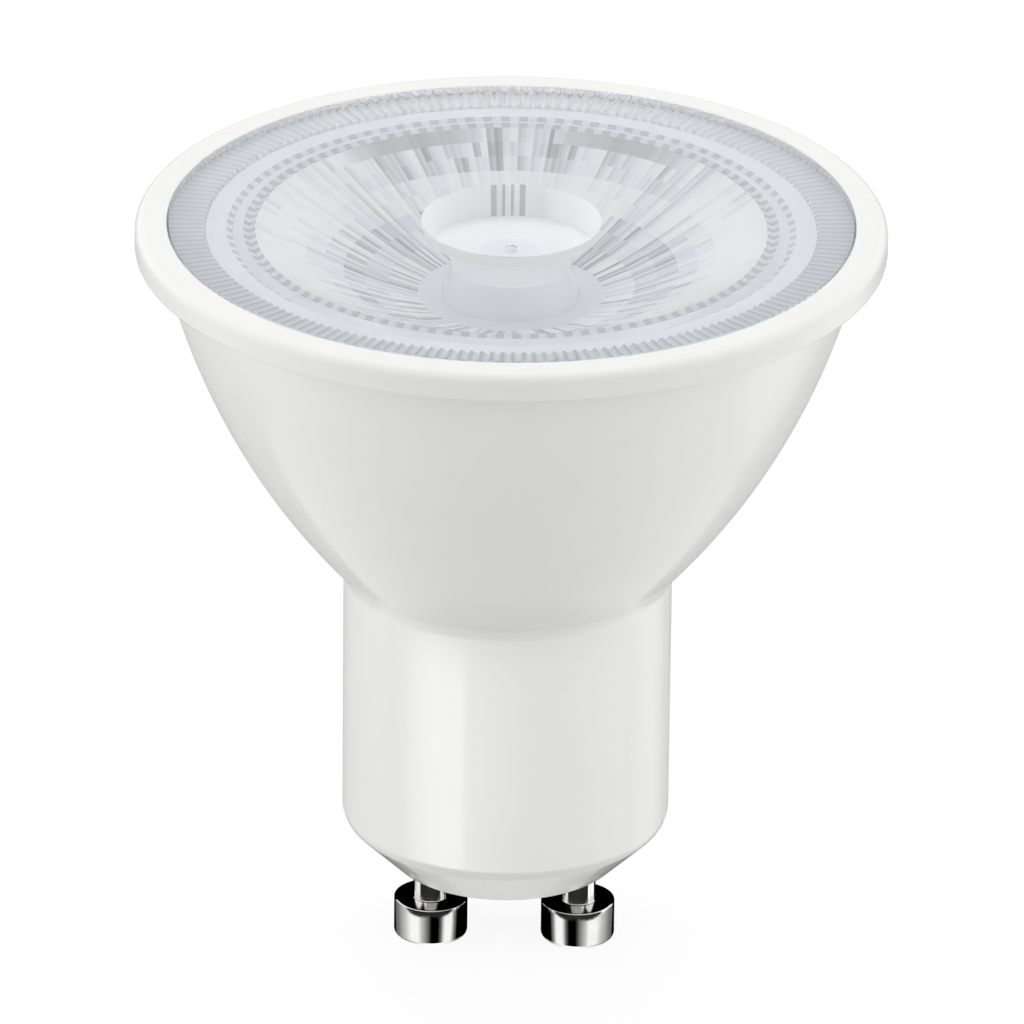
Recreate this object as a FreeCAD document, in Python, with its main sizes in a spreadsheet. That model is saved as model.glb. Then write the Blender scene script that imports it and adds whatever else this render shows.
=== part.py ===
import FreeCAD, Part
import math
import os
import Sketcher

# Spotlight lamp with a two-pin twist-lock base.
# Origin at the centre of the base's end face, +Z along the axis towards the lens, the pins along X.

V = FreeCAD.Vector
SAME = 1e-4

# Driving dimensions, in millimetres and degrees

SIZES = {
    # Housing: rim, cup, neck and base
    "body_height": 46.6,
    "rim_dia": 50.0,
    "rim_height": 1.95,
    "rim_edge": 0.6,
    "rim_overhang": 1.73,
    "rim_land": 2.13,
    "cup_bulge": 1.76,
    "neck_dia": 22.1,
    "neck_height": 21.4,
    "base_end_dia": 15.6,
    "bevel_height": 3.25,
    "wall": 1.4,
    "base_floor": 2.0,
    "seat_step": 0.8,
    "cup_blend": 1.5,
    "base_blend": 1.2,
    "base_edge": 0.3,
    # Contact pins
    "pin_spacing": 10.0,
    "pin_reach": 6.3,
    "pin_head_dia": 5.0,
    "pin_head_height": 2.7,
    "pin_head_edge": 0.25,
    "pin_neck_dia": 2.4,
    "pin_collar_dia": 3.8,
    "pin_collar_height": 0.6,
    "pin_tail_height": 3.0,
    # Lens
    "lens_edge": 1.6,
    "cone_top_inset": 5.87,
    "cone_foot_dia": 12.4,
    "cone_foot_gap": 0.3,
    "cone_flare": 0.8,
    "facet_count": 96,
    "facet_rows": 8,
    "rib_count": 96,
    "rib_length": 2.47,
    "rib_crest": 0.08,
    "rib_depth": 0.7,
    "ridge_inset": 4.37,
    "ridge_pitch": 1.1,
    "ridge_width": 0.8,
    "ridge_depth": 0.5,
    "recess_dia": 12.0,
    "recess_depth": 2.2,
    "recess_draft": 0.2,
    "gate_dia": 0.8,
    "gate_height": 0.25,
    "cavity_dia": 9.2,
    "cavity_top_dia": 8.0,
    "cavity_depth": 5.5,
    "cavity_dome": 1.0,
    # Heat sink, LED board and light source
    "sink_wall": 1.0,
    "sink_floor": 1.5,
    "sink_top_gap": 0.7,
    "thermal_pad_thickness": 0.2,
    "led_board_thickness": 1.2,
    "led_width": 5.0,
    "led_height": 0.7,
    "phosphor_dia": 4.2,
    "phosphor_depth": 0.35,
    "phosphor_rise": 0.25,
    "screw_dia": 1.6,
    "screw_head_dia": 3.0,
    "screw_head_height": 1.2,
    "screw_slot_width": 0.5,
    "screw_slot_depth": 0.6,
    # Driver board and its rails
    "board_thickness": 1.0,
    "board_offset": 4.0,
    "board_foot": 5.0,
    "board_length": 24.2,
    "board_headroom": 0.5,
    "rail_grip": 0.8,
    "rail_thickness": 0.8,
    "rail_height": 18.0,
    # Parts on the driver board
    "part_gap": 0.3,
    "capacitor_dia": 6.3,
    "capacitor_height": 7.5,
    "inductor_dia": 6.0,
    "inductor_height": 6.5,
    "inductor_flange": 1.0,
    "inductor_post_dia": 3.0,
    "winding_dia": 5.4,
    "film_width": 6.8,
    "film_height": 5.6,
    "film_depth": 3.6,
    "film_edge": 0.3,
    "fuse_dia": 2.8,
    "fuse_length": 7.0,
    "fuse_lead_dia": 0.6,
    "fuse_lead_span": 10.0,
    "fuse_bend": 0.8,
    "bridge_width": 4.7,
    "bridge_length": 3.9,
    "bridge_height": 2.2,
    "bridge_pitch": 2.5,
    "bridge_aside": 3.0,
    "bridge_rise": 4.5,
    "chip_width": 4.9,
    "chip_length": 3.9,
    "chip_height": 1.5,
    "chip_pitch": 1.27,
    "chip_aside": 2.6,
    "chip_rise": 11.0,
    "leg_width": 0.4,
    "leg_reach": 1.0,
    "leg_thickness": 0.2,
    "diode_width": 2.6,
    "diode_length": 4.3,
    "diode_height": 2.0,
    "diode_aside": 3.6,
    "diode_rise": 11.5,
    "resistor_width": 2.0,
    "resistor_length": 1.25,
    "resistor_height": 0.5,
    "resistor_aside": 3.6,
    "resistor_rise": 3.5,
    "resistor_pitch": 2.2,
    # Wires
    "mains_wire_dia": 1.0,
    "mains_wire_rise": 4.0,
    "mains_wire_bend": 1.5,
    "led_wire_dia": 0.9,
    "led_wire_spacing": 3.0,
    "led_wire_drop": 3.2,
    "led_wire_tail": 0.4,
    "wire_hole_dia": 1.6,
    # Clearances
    "fit": 0.05,
    "lens_fit": 0.12,
    "slot_fit": 0.1,
    "led_board_fit": 0.2,
    "lens_clearance": 0.3,
}

# Places and sizes that follow from the driving ones

PLACES = {
    "rim_r": "dims.rim_dia / 2",
    "rim_under": "dims.body_height - dims.rim_height",
    "cup_top_r": "places.rim_r - dims.rim_overhang",
    "lens_seat_r": "places.rim_r - dims.rim_land",
    "ledge": "dims.body_height - dims.lens_edge",
    "neck_r": "dims.neck_dia / 2",
    "bore_r": "dims.neck_dia / 2 - dims.wall",
    "base_r": "dims.base_end_dia / 2",
    "bevel_slope": "dims.bevel_height / (places.neck_r - places.base_r)",
    "bevel_shift": "dims.wall * sqrt(1 + places.bevel_slope ^ 2)",
    "bevel_inner_top": "places.bevel_slope * (places.bore_r - places.base_r) + places.bevel_shift",
    "bevel_inner_r": "places.base_r + (dims.base_floor - places.bevel_shift) / places.bevel_slope",
    "cup_rise": "places.rim_under - dims.neck_height",
    "cup_spread": "places.cup_top_r - places.neck_r",
    "cup_chord": "sqrt(places.cup_rise ^ 2 + places.cup_spread ^ 2)",
    "cup_radius": "(places.cup_chord ^ 2 / 4 + dims.cup_bulge ^ 2) / (2 * dims.cup_bulge)",
    "cup_reach": "(places.cup_radius - dims.cup_bulge) / places.cup_chord",
    "cup_centre_x": "(places.neck_r + places.cup_top_r) / 2 - places.cup_rise * places.cup_reach",
    "cup_centre_z": "(dims.neck_height + places.rim_under) / 2 + places.cup_spread * places.cup_reach",
    "seat_height": "dims.board_foot + dims.board_length + dims.board_headroom",
    "sink_floor_top": "places.seat_height + dims.sink_floor",
    "sink_top": "places.ledge - dims.sink_top_gap",
    "pad_top": "places.sink_floor_top + dims.thermal_pad_thickness",
    "led_board_top": "places.pad_top + dims.led_board_thickness",
    "led_top": "places.led_board_top + dims.led_height",
    "cone_foot": "places.led_board_top + dims.cone_foot_gap",
    "cone_foot_r": "dims.cone_foot_dia / 2",
    "cone_top_r": "places.lens_seat_r - dims.cone_top_inset",
    "board_front": "-(dims.board_offset - dims.board_thickness / 2)",
    "board_back": "-(dims.board_offset + dims.board_thickness / 2)",
    "slot_half_width": "dims.board_thickness / 2 + dims.fit",
    "slot_reach": "sqrt(places.bore_r ^ 2 - (dims.board_offset + places.slot_half_width) ^ 2) - dims.fit",
    "board_half": "places.slot_reach - dims.slot_fit",
    "rail_inner": "places.board_half - dims.rail_grip",
    "rail_back": "dims.board_offset + places.slot_half_width + dims.rail_thickness",
    "rail_front": "dims.board_offset - places.slot_half_width - dims.rail_thickness",
    "wall_middle": "places.bore_r + dims.wall / 2",
    "pin_x": "dims.pin_spacing / 2",
    "pin_head_top": "dims.pin_head_height - dims.pin_reach",
    "pin_collar_top": "dims.base_floor + dims.pin_collar_height",
    "pin_tail_top": "places.pin_collar_top + dims.pin_tail_height",
    "led_wire_r": "dims.led_wire_dia / 2",
    "led_wire_bend": "dims.wire_hole_dia / 2",
    "led_wire_top": "places.led_board_top + places.led_wire_r",
    "mains_wire_z": "places.pin_tail_top + dims.mains_wire_rise",
    "film_z": "places.pin_tail_top + dims.part_gap + dims.film_height / 2",
    "fuse_z": "places.film_z + (dims.film_height + dims.fuse_dia) / 2 + dims.part_gap",
    "tall_parts_foot": "places.fuse_z + dims.fuse_dia / 2 + dims.part_gap",
}


# Document helpers

def add_sheet(doc, name, cells):
    sheet = doc.addObject("Spreadsheet::Sheet", name)
    for row, (alias, content) in enumerate(cells.items(), start=1):
        sheet.set(f"A{row}", alias)
        sheet.set(f"B{row}", content)
        sheet.setAlias(f"B{row}", alias)
    return sheet


def bind(item, **expressions):
    """Bind properties to expressions; a double underscore stands for a dot."""
    for name, expression in expressions.items():
        item.setExpression(name.replace("__", "."), expression)


def place(item, x="0", y="0", z="0", turn=None):
    if turn:
        item.Placement = FreeCAD.Placement(V(0, 0, 0), turn)
    bind(item, Placement__Base__x=x, Placement__Base__y=y, Placement__Base__z=z)


def add_body(doc, name):
    body = doc.addObject("PartDesign::Body", name)
    body.Label = name
    return body


def origin_plane(body, role):
    return next(item for item in body.Origin.OriginFeatures if item.Role == role)


def add_sketch(body, name, role, offset="0"):
    sketch = body.newObject("Sketcher::SketchObject", name)
    sketch.AttachmentSupport = [(origin_plane(body, role), "")]
    sketch.MapMode = "FlatFace"
    sketch.setExpression("AttachmentOffset.Base.z", offset)
    return sketch


def number(item, expression):
    return float(item.evalExpression(expression))


# Sketch helpers

def curve_between(start, end, radius):
    """An arc from start to end; a positive radius swells to the left of the way from start to end."""
    chord = end - start
    sagitta = abs(radius) - math.sqrt(radius ** 2 - (chord.Length / 2) ** 2)
    left = V(-chord.y, chord.x, 0).normalize()
    return Part.Arc(start, (start + end) * 0.5 + left * math.copysign(sagitta, radius), end)


def end_at(sketch, edge, spot):
    """The vertex number, 1 or 2, of the edge's end that lies on the spot."""
    first = (sketch.getPoint(edge, 1) - spot).Length
    second = (sketch.getPoint(edge, 2) - spot).Length
    return 1 if first < second else 2


def fix_point(sketch, edge, vertex, x, y):
    """Hold one point of the sketch at x and y, which are expressions."""
    spot = sketch.getPoint(edge, vertex)
    for kind, axis, value, expression in (("DistanceX", -2, spot.x, x), ("DistanceY", -1, spot.y, y)):
        if expression == "0":
            sketch.addConstraint(Sketcher.Constraint("PointOnObject", edge, vertex, axis))
        else:
            held = sketch.addConstraint(Sketcher.Constraint(kind, -1, 1, edge, vertex, value))
            sketch.setExpression(f"Constraints[{held}]", expression)


def draw(sketch, corners, arcs=None, closed=True):
    """Draw edges through corners, given as pairs of expressions. arcs maps an edge to its signed radius."""
    arcs = arcs or {}
    spots = [V(number(sketch, x), number(sketch, y), 0) for x, y in corners]
    edges = []
    for index in range(len(spots) if closed else len(spots) - 1):
        start, end = spots[index], spots[(index + 1) % len(spots)]
        if index in arcs:
            curve = curve_between(start, end, number(sketch, arcs[index]))
        else:
            curve = Part.LineSegment(start, end)
        edges.append(sketch.addGeometry(curve, False))
    for index, edge in enumerate(edges):
        if closed or index:
            before = edges[index - 1]
            pair = (before, end_at(sketch, before, spots[index]), edge, end_at(sketch, edge, spots[index]))
            sketch.addConstraint(Sketcher.Constraint("Coincident", *pair))
        fix_point(sketch, edge, end_at(sketch, edge, spots[index]), *corners[index])
        if index in arcs:
            radius = abs(number(sketch, arcs[index]))
            held = sketch.addConstraint(Sketcher.Constraint("Radius", edge, radius))
            sketch.setExpression(f"Constraints[{held}]", f"abs({arcs[index]})")
    if not closed:
        fix_point(sketch, edges[-1], end_at(sketch, edges[-1], spots[-1]), *corners[-1])


def draw_circle(sketch, x, y, diameter):
    centre = V(number(sketch, x), number(sketch, y), 0)
    radius = number(sketch, diameter) / 2
    edge = sketch.addGeometry(Part.Circle(centre, V(0, 0, 1), radius), False)
    fix_point(sketch, edge, 3, x, y)
    held = sketch.addConstraint(Sketcher.Constraint("Diameter", edge, 2 * radius))
    sketch.setExpression(f"Constraints[{held}]", diameter)


def draw_rectangle(sketch, x, y, width, height):
    """A rectangle whose centre is at x, y."""
    left, right = f"{x} - {width} / 2", f"{x} + {width} / 2"
    low, high = f"{y} - {height} / 2", f"{y} + {height} / 2"
    draw(sketch, [(left, low), (right, low), (right, high), (left, high)])


# Feature helpers

def add_turned(body, name, corners, arcs=None):
    """Revolve a closed outline of (radius, height) corners about the body's Z axis."""
    sketch = add_sketch(body, f"{name}_sketch", "XZ_Plane")
    draw(sketch, corners, arcs)
    turned = body.newObject("PartDesign::Revolution", name)
    turned.Profile = sketch
    turned.ReferenceAxis = (sketch, ["V_Axis"])
    turned.Angle = 360.0
    return turned


def add_pad(body, name, sketch, length):
    pad = body.newObject("PartDesign::Pad", name)
    pad.Profile = sketch
    bind(pad, Length=length)
    return pad


def add_pocket(body, name, sketch, length, upward=False):
    pocket = body.newObject("PartDesign::Pocket", name)
    pocket.Profile = sketch
    pocket.Reversed = upward
    bind(pocket, Length=length)
    return pocket


def add_edge_work(body, kind, name, base, circles):
    """A Fillet or Chamfer of the circular edges that lie at the given (radius, height) pairs."""
    edges = []
    for r, z in circles:
        edge_r, edge_z = number(base, r), number(base, z)
        for index, edge in enumerate(base.Shape.Edges, start=1):
            if not isinstance(edge.Curve, Part.Circle):
                continue
            if abs(edge.Curve.Radius - edge_r) < SAME and abs(edge.Curve.Center.z - edge_z) < SAME:
                edges.append(f"Edge{index}")
    work = body.newObject(f"PartDesign::{kind}", name)
    work.Base = (base, edges)
    return work


def add_wire(doc, name, x, corners, arcs, diameter):
    """A round wire along a flat path of (y, z) corners, in the plane at x; it starts along Z or Y."""
    body = add_body(doc, name)
    path = add_sketch(body, f"{name}_path", "YZ_Plane")
    draw(path, corners, arcs, closed=False)
    upright = corners[0][0] == corners[1][0]
    role, offset = ("XY_Plane", corners[0][1]) if upright else ("XZ_Plane", f"-({corners[0][0]})")
    section = add_sketch(body, f"{name}_section", role, offset)
    draw_circle(section, "0", corners[0][0] if upright else corners[0][1], diameter)
    doc.recompute()
    pipe = body.newObject("PartDesign::AdditivePipe", f"{name}_pipe")
    pipe.Profile = section
    pipe.Spine = (path, [f"Edge{number + 1}" for number in range(len(corners) - 1)])
    place(body, x=x)
    return body


def cup_r(inset, height):
    """Radius, at a height, of the cup's curve set inward by inset."""
    across = f"(places.cup_radius - ({inset})) ^ 2 - ({height} - places.cup_centre_z) ^ 2"
    return f"(places.cup_centre_x + sqrt({across}))"


def lining_r(inset, height):
    """Radius, at a height, of the straight inside of the cup set inward by inset."""
    low = cup_r("dims.wall", "places.seat_height")
    high = cup_r("dims.wall", "places.ledge")
    share = f"({height} - places.seat_height) / (places.ledge - places.seat_height)"
    return f"({low} + ({high} - {low}) * {share} - ({inset}))"


def funnel_r(height):
    """Radius, at a height, of the lens's funnel."""
    share = f"(({height} - places.cone_foot) / (places.ledge - places.cone_foot))"
    return f"(places.cone_foot_r + (places.cone_top_r - places.cone_foot_r) * {share} ^ dims.cone_flare)"


# The LED board's screws and wires stand clear of the funnel

SCREW_X = (
    f"({funnel_r('(places.led_board_top + dims.screw_head_height)')}"
    " + dims.lens_clearance + dims.screw_head_dia / 2)"
)
LED_WIRE_OFFSET = (
    f"({funnel_r('(places.led_board_top + dims.led_wire_dia)')}"
    " + dims.lens_clearance + dims.led_wire_tail + places.led_wire_bend)"
)


# Housing

def make_housing(doc):
    body = add_body(doc, "housing")
    seat_r = lining_r("0", "places.seat_height")
    corners = [
        ("0", "0"),
        ("places.base_r", "0"),
        ("places.neck_r", "dims.bevel_height"),
        ("places.neck_r", "dims.neck_height"),
        ("places.cup_top_r", "places.rim_under"),
        ("places.rim_r", "places.rim_under"),
        ("places.rim_r", "dims.body_height - dims.rim_edge"),
        ("places.rim_r - dims.rim_edge", "dims.body_height"),
        ("places.lens_seat_r", "dims.body_height"),
        ("places.lens_seat_r", "places.ledge"),
        (lining_r("0", "places.ledge"), "places.ledge"),
        (seat_r, "places.seat_height"),
        (f"{seat_r} - dims.seat_step", "places.seat_height"),
        ("places.bore_r", "dims.neck_height + dims.wall"),
        ("places.bore_r", "places.bevel_inner_top"),
        ("places.bevel_inner_r", "dims.base_floor"),
        ("0", "dims.base_floor"),
    ]
    shell = add_turned(body, "housing_shell", corners, {3: "-places.cup_radius"})
    doc.recompute()
    crease = [("places.neck_r", "dims.neck_height")]
    blend = add_edge_work(body, "Fillet", "cup_and_neck_blend", shell, crease)
    bind(blend, Radius="dims.cup_blend")
    doc.recompute()
    corner = add_edge_work(body, "Fillet", "base_blend", blend, [("places.neck_r", "dims.bevel_height")])
    bind(corner, Radius="dims.base_blend")
    doc.recompute()
    edge = add_edge_work(body, "Chamfer", "base_edge", corner, [("places.base_r", "0")])
    bind(edge, Size="dims.base_edge")
    add_board_rails(body)
    holes = add_sketch(body, "pin_hole_sketch", "XY_Plane")
    for side in ("-", ""):
        draw_circle(holes, f"{side}places.pin_x", "0", "dims.pin_neck_dia + 2 * dims.fit")
    add_pocket(body, "pin_holes", holes, "dims.base_floor", upward=True)
    return body


def add_board_rails(body):
    """Two moulded channels in the neck that hold the driver board by its edges."""
    rails = add_sketch(body, "rail_sketch", "XY_Plane", "places.bevel_inner_top")
    outer_back = "sqrt(places.wall_middle ^ 2 - places.rail_back ^ 2)"
    outer_front = "sqrt(places.wall_middle ^ 2 - places.rail_front ^ 2)"
    for side in ("-", ""):
        draw(rails, [
            (f"{side}places.rail_inner", "-places.rail_back"),
            (f"{side}{outer_back}", "-places.rail_back"),
            (f"{side}{outer_front}", "-places.rail_front"),
            (f"{side}places.rail_inner", "-places.rail_front"),
        ])
    add_pad(body, "rails", rails, "dims.rail_height - places.bevel_inner_top")
    slot = add_sketch(body, "rail_slot_sketch", "XY_Plane", "dims.board_foot")
    draw_rectangle(slot, "0", "-dims.board_offset", "2 * places.slot_reach", "2 * places.slot_half_width")
    add_pocket(body, "rail_slots", slot, "dims.rail_height - dims.board_foot", upward=True)


# Contact pins

def make_contact_pin(doc, name, side):
    """A turned pin: thick head, slim neck through the base, riveted collar and hollow tail for the wire."""
    body = add_body(doc, name)
    head_r = "dims.pin_head_dia / 2"
    neck_r = "dims.pin_neck_dia / 2"
    wire_hole_r = "(dims.mains_wire_dia / 2 + dims.fit)"
    add_turned(body, f"{name}_turning", [
        ("0", "-dims.pin_reach"),
        (f"{head_r} - dims.pin_head_edge", "-dims.pin_reach"),
        (head_r, "dims.pin_head_edge - dims.pin_reach"),
        (head_r, "places.pin_head_top - dims.pin_head_edge"),
        (f"{head_r} - dims.pin_head_edge", "places.pin_head_top"),
        (neck_r, "places.pin_head_top"),
        (neck_r, "dims.base_floor"),
        ("dims.pin_collar_dia / 2", "dims.base_floor"),
        ("dims.pin_collar_dia / 2", "places.pin_collar_top"),
        (neck_r, "places.pin_collar_top"),
        (neck_r, "places.pin_tail_top"),
        (wire_hole_r, "places.pin_tail_top"),
        (wire_hole_r, "places.pin_collar_top"),
        ("0", "places.pin_collar_top"),
    ])
    place(body, x=f"{side}places.pin_x")
    return body


# Heat sink, thermal pad, LED board and light source

def draw_board_holes(sketch, screw_hole):
    """Two screw holes and two wire holes, shared by heat sink, thermal pad and LED board."""
    for side in ("-", ""):
        draw_circle(sketch, f"{side}{SCREW_X}", "0", screw_hole)
        draw_circle(sketch, f"{side}dims.led_wire_spacing / 2", f"-{LED_WIRE_OFFSET}", "dims.wire_hole_dia")


def make_heat_sink(doc):
    """A pressed cup that lines the housing and stands on its step."""
    body = add_body(doc, "heat_sink")
    inner = "(dims.fit + dims.sink_wall)"
    add_turned(body, "sink_cup", [
        ("0", "places.seat_height"),
        (lining_r("dims.fit", "places.seat_height"), "places.seat_height"),
        (lining_r("dims.fit", "places.sink_top"), "places.sink_top"),
        (lining_r(inner, "places.sink_top"), "places.sink_top"),
        (lining_r(inner, "places.sink_floor_top"), "places.sink_floor_top"),
        ("0", "places.sink_floor_top"),
    ])
    holes = add_sketch(body, "sink_hole_sketch", "XY_Plane", "places.seat_height")
    draw_board_holes(holes, "dims.screw_dia + 2 * dims.fit")
    add_pocket(body, "sink_holes", holes, "dims.sink_floor", upward=True)
    return body


def make_drilled_disc(doc, name, thickness, height):
    """A disc that fills the floor of the heat sink."""
    body = add_body(doc, name)
    sketch = add_sketch(body, f"{name}_sketch", "XY_Plane", height)
    radius = lining_r("dims.fit + dims.sink_wall + dims.led_board_fit", "places.sink_floor_top")
    draw_circle(sketch, "0", "0", f"2 * {radius}")
    draw_board_holes(sketch, "dims.screw_dia + 4 * dims.fit")
    add_pad(body, f"{name}_plate", sketch, thickness)
    return body


def make_led(doc):
    """A square white package with a round recess, which the domed phosphor fills."""
    package = add_body(doc, "led_package")
    block = add_sketch(package, "led_block_sketch", "XY_Plane")
    draw_rectangle(block, "0", "0", "dims.led_width", "dims.led_width")
    add_pad(package, "led_block", block, "dims.led_height")
    recess = add_sketch(package, "led_recess_sketch", "XY_Plane", "dims.led_height")
    draw_circle(recess, "0", "0", "dims.phosphor_dia")
    add_pocket(package, "led_recess", recess, "dims.phosphor_depth")
    place(package, z="places.led_board_top")
    phosphor = add_body(doc, "led_phosphor")
    dome = "((dims.phosphor_dia / 2) ^ 2 + dims.phosphor_rise ^ 2) / (2 * dims.phosphor_rise)"
    add_turned(phosphor, "phosphor_fill", [
        ("0", "-dims.phosphor_depth"),
        ("dims.phosphor_dia / 2", "-dims.phosphor_depth"),
        ("dims.phosphor_dia / 2", "0"),
        ("0", "dims.phosphor_rise"),
    ], {2: f"-{dome}"})
    place(phosphor, z="places.led_top")


def make_board_screws(doc):
    """Two slotted screws, one group of separate solids."""
    screws = []
    for side, sign in (("left", "-"), ("right", "")):
        name = f"screw_{side}"
        body = add_body(doc, name)
        add_turned(body, f"{name}_turning", [
            ("0", "-(dims.led_board_thickness + dims.thermal_pad_thickness + dims.sink_floor)"),
            ("dims.screw_dia / 2", "-(dims.led_board_thickness + dims.thermal_pad_thickness + dims.sink_floor)"),
            ("dims.screw_dia / 2", "0"),
            ("dims.screw_head_dia / 2", "0"),
            ("dims.screw_head_dia / 2", "dims.screw_head_height"),
            ("0", "dims.screw_head_height"),
        ])
        slot = add_sketch(body, f"{name}_slot_sketch", "XY_Plane", "dims.screw_head_height")
        draw_rectangle(slot, "0", "0", "dims.screw_head_dia * 2", "dims.screw_slot_width")
        add_pocket(body, f"{name}_slot", slot, "dims.screw_slot_depth")
        place(body, x=f"{sign}{SCREW_X}", z="places.led_board_top")
        screws.append(body)
    group = doc.addObject("Part::Compound", "board_screws")
    group.Label = "board_screws"
    group.Links = screws
    return group


# Lens

def make_lens(doc):
    """One clear moulding: ribbed plate, faceted funnel, centre recess and a hollow over the light source."""
    blank = doc.addObject("Part::MultiFuse", "lens_blank")
    blank.Shapes = [make_lens_plate(doc), make_lens_funnel(doc)]
    recess = make_lens_recess(doc)
    hollow = make_lens_hollow(doc)
    hollows = doc.addObject("Part::MultiFuse", "lens_hollows")
    hollows.Shapes = [recess, hollow]
    lens = doc.addObject("Part::Cut", "lens")
    lens.Label = "lens"
    lens.Base = blank
    lens.Tool = hollows
    return lens


def make_lens_plate(doc):
    body = add_body(doc, "lens_plate")
    ridge_half = "dims.ridge_width / 2"
    corners = [("0", "places.ledge")]
    for step in (1, 0):
        ridge = f"(places.lens_seat_r - dims.ridge_inset - {step} * dims.ridge_pitch)"
        corners += [
            (f"{ridge} - {ridge_half}", "places.ledge"),
            (ridge, "places.ledge - dims.ridge_depth"),
            (f"{ridge} + {ridge_half}", "places.ledge"),
        ]
    corners += [
        ("places.lens_seat_r - dims.lens_fit", "places.ledge"),
        ("places.lens_seat_r - dims.lens_fit", "dims.body_height"),
        ("0", "dims.body_height"),
    ]
    add_turned(body, "lens_disc", corners)
    add_lens_ribs(body)
    return body


def add_lens_ribs(body):
    """V-shaped radial grooves under the edge band leave fine ribs, whose flat crests rest on the ledge."""
    inner_r = "(places.lens_seat_r - dims.rib_length)"
    width = f"(2 * {inner_r} * sin(180 / dims.rib_count) - dims.rib_crest)"
    sketch = add_sketch(body, "rib_groove_sketch", "XZ_Plane", "-places.lens_seat_r")
    draw(sketch, [
        (f"-{width} / 2", "places.ledge"),
        (f"{width} / 2", "places.ledge"),
        ("0", "places.ledge + dims.rib_depth"),
    ])
    groove = add_pocket(body, "rib_groove", sketch, "dims.rib_length", upward=True)
    grooves = body.newObject("PartDesign::PolarPattern", "rib_grooves")
    grooves.Originals = [groove]
    grooves.Axis = (origin_plane(body, "Z_Axis"), [""])
    grooves.Angle = 360.0
    bind(grooves, Occurrences="dims.rib_count")
    body.Tip = grooves


def make_lens_funnel(doc):
    """Flat facets between rings of polygons, widening from the foot to the plate."""
    rows = int(SIZES["facet_rows"])
    rings = []
    for row in range(rows + 1):
        ring = doc.addObject("Part::RegularPolygon", f"facet_ring_{row}")
        height = f"(places.cone_foot + (places.ledge - places.cone_foot) * {row} / {rows})"
        bind(ring, Polygon="dims.facet_count", Circumradius=funnel_r(height))
        place(ring, z=height)
        rings.append(ring)
    funnel = doc.addObject("Part::Loft", "lens_funnel")
    funnel.Sections = rings
    funnel.Solid = True
    funnel.Ruled = True
    return funnel


def make_lens_recess(doc):
    """The dished centre of the front face, with the moulding gate's stub on its floor."""
    body = add_body(doc, "lens_recess")
    floor = "(dims.body_height - dims.recess_depth)"
    above = "(dims.body_height + dims.recess_depth)"
    add_turned(body, "recess_cut", [
        ("0", f"{floor} + dims.gate_height"),
        ("dims.gate_dia / 2", f"{floor} + dims.gate_height"),
        ("dims.gate_dia / 2", floor),
        ("dims.recess_dia / 2 - dims.recess_draft", floor),
        ("dims.recess_dia / 2", "dims.body_height"),
        ("dims.recess_dia / 2", above),
        ("0", above),
    ])
    return body


def make_lens_hollow(doc):
    """The hollow that stands over the light source, with a domed roof."""
    body = add_body(doc, "lens_hollow")
    top_r = "dims.cavity_top_dia / 2"
    roof = "(places.cone_foot + dims.cavity_depth)"
    dome = f"(({top_r}) ^ 2 + dims.cavity_dome ^ 2) / (2 * dims.cavity_dome)"
    add_turned(body, "hollow_cut", [
        ("0", "places.cone_foot - dims.cavity_dome"),
        ("dims.cavity_dia / 2", "places.cone_foot - dims.cavity_dome"),
        ("dims.cavity_dia / 2", "places.cone_foot"),
        (top_r, roof),
        ("0", f"{roof} - dims.cavity_dome"),
    ], {3: dome})
    return body


# Driver board and what it carries

FACE_FRONT = FreeCAD.Rotation(V(1, 0, 0), -90)
FACE_BACK = FreeCAD.Rotation(V(1, 0, 0), 90)


def make_driver_board(doc):
    board = doc.addObject("Part::Box", "driver_board")
    board.Label = "driver_board"
    bind(
        board,
        Length="2 * places.board_half",
        Width="dims.board_thickness",
        Height="dims.board_length",
    )
    place(board, x="-places.board_half", y="places.board_back", z="dims.board_foot")
    return board


def make_bulk_capacitor(doc):
    """A round can with the rolled groove near its foot."""
    body = add_body(doc, "bulk_capacitor")
    can_r = "dims.capacitor_dia / 2"
    groove = "dims.capacitor_dia / 16"
    add_turned(body, "capacitor_can", [
        ("0", "0"),
        (can_r, "0"),
        (can_r, groove),
        (f"{can_r} - {groove}", f"2 * {groove}"),
        (can_r, f"3 * {groove}"),
        (can_r, f"dims.capacitor_height - {groove}"),
        (f"{can_r} - {groove}", "dims.capacitor_height"),
        ("0", "dims.capacitor_height"),
    ])
    place(
        body,
        x="(dims.capacitor_dia + dims.part_gap) / 2",
        y="places.board_front",
        z="places.tall_parts_foot + dims.capacitor_dia / 2",
        turn=FACE_FRONT,
    )


def make_inductor(doc):
    """A drum of ferrite with the wound wire between its two flanges."""
    core = add_body(doc, "inductor_core")
    drum_r = "dims.inductor_dia / 2"
    post_r = "dims.inductor_post_dia / 2"
    upper = "(dims.inductor_height - dims.inductor_flange)"
    add_turned(core, "drum", [
        ("0", "0"),
        (drum_r, "0"),
        (drum_r, "dims.inductor_flange"),
        (post_r, "dims.inductor_flange"),
        (post_r, upper),
        (drum_r, upper),
        (drum_r, "dims.inductor_height"),
        ("0", "dims.inductor_height"),
    ])
    winding = add_body(doc, "inductor_winding")
    add_turned(winding, "coil", [
        (f"{post_r} + dims.fit", "dims.inductor_flange"),
        ("dims.winding_dia / 2", "dims.inductor_flange"),
        ("dims.winding_dia / 2", upper),
        (f"{post_r} + dims.fit", upper),
    ])
    for body in (core, winding):
        place(
            body,
            x="-(dims.inductor_dia + dims.part_gap) / 2",
            y="places.board_front",
            z="places.tall_parts_foot + dims.inductor_dia / 2",
            turn=FACE_FRONT,
        )


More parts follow.
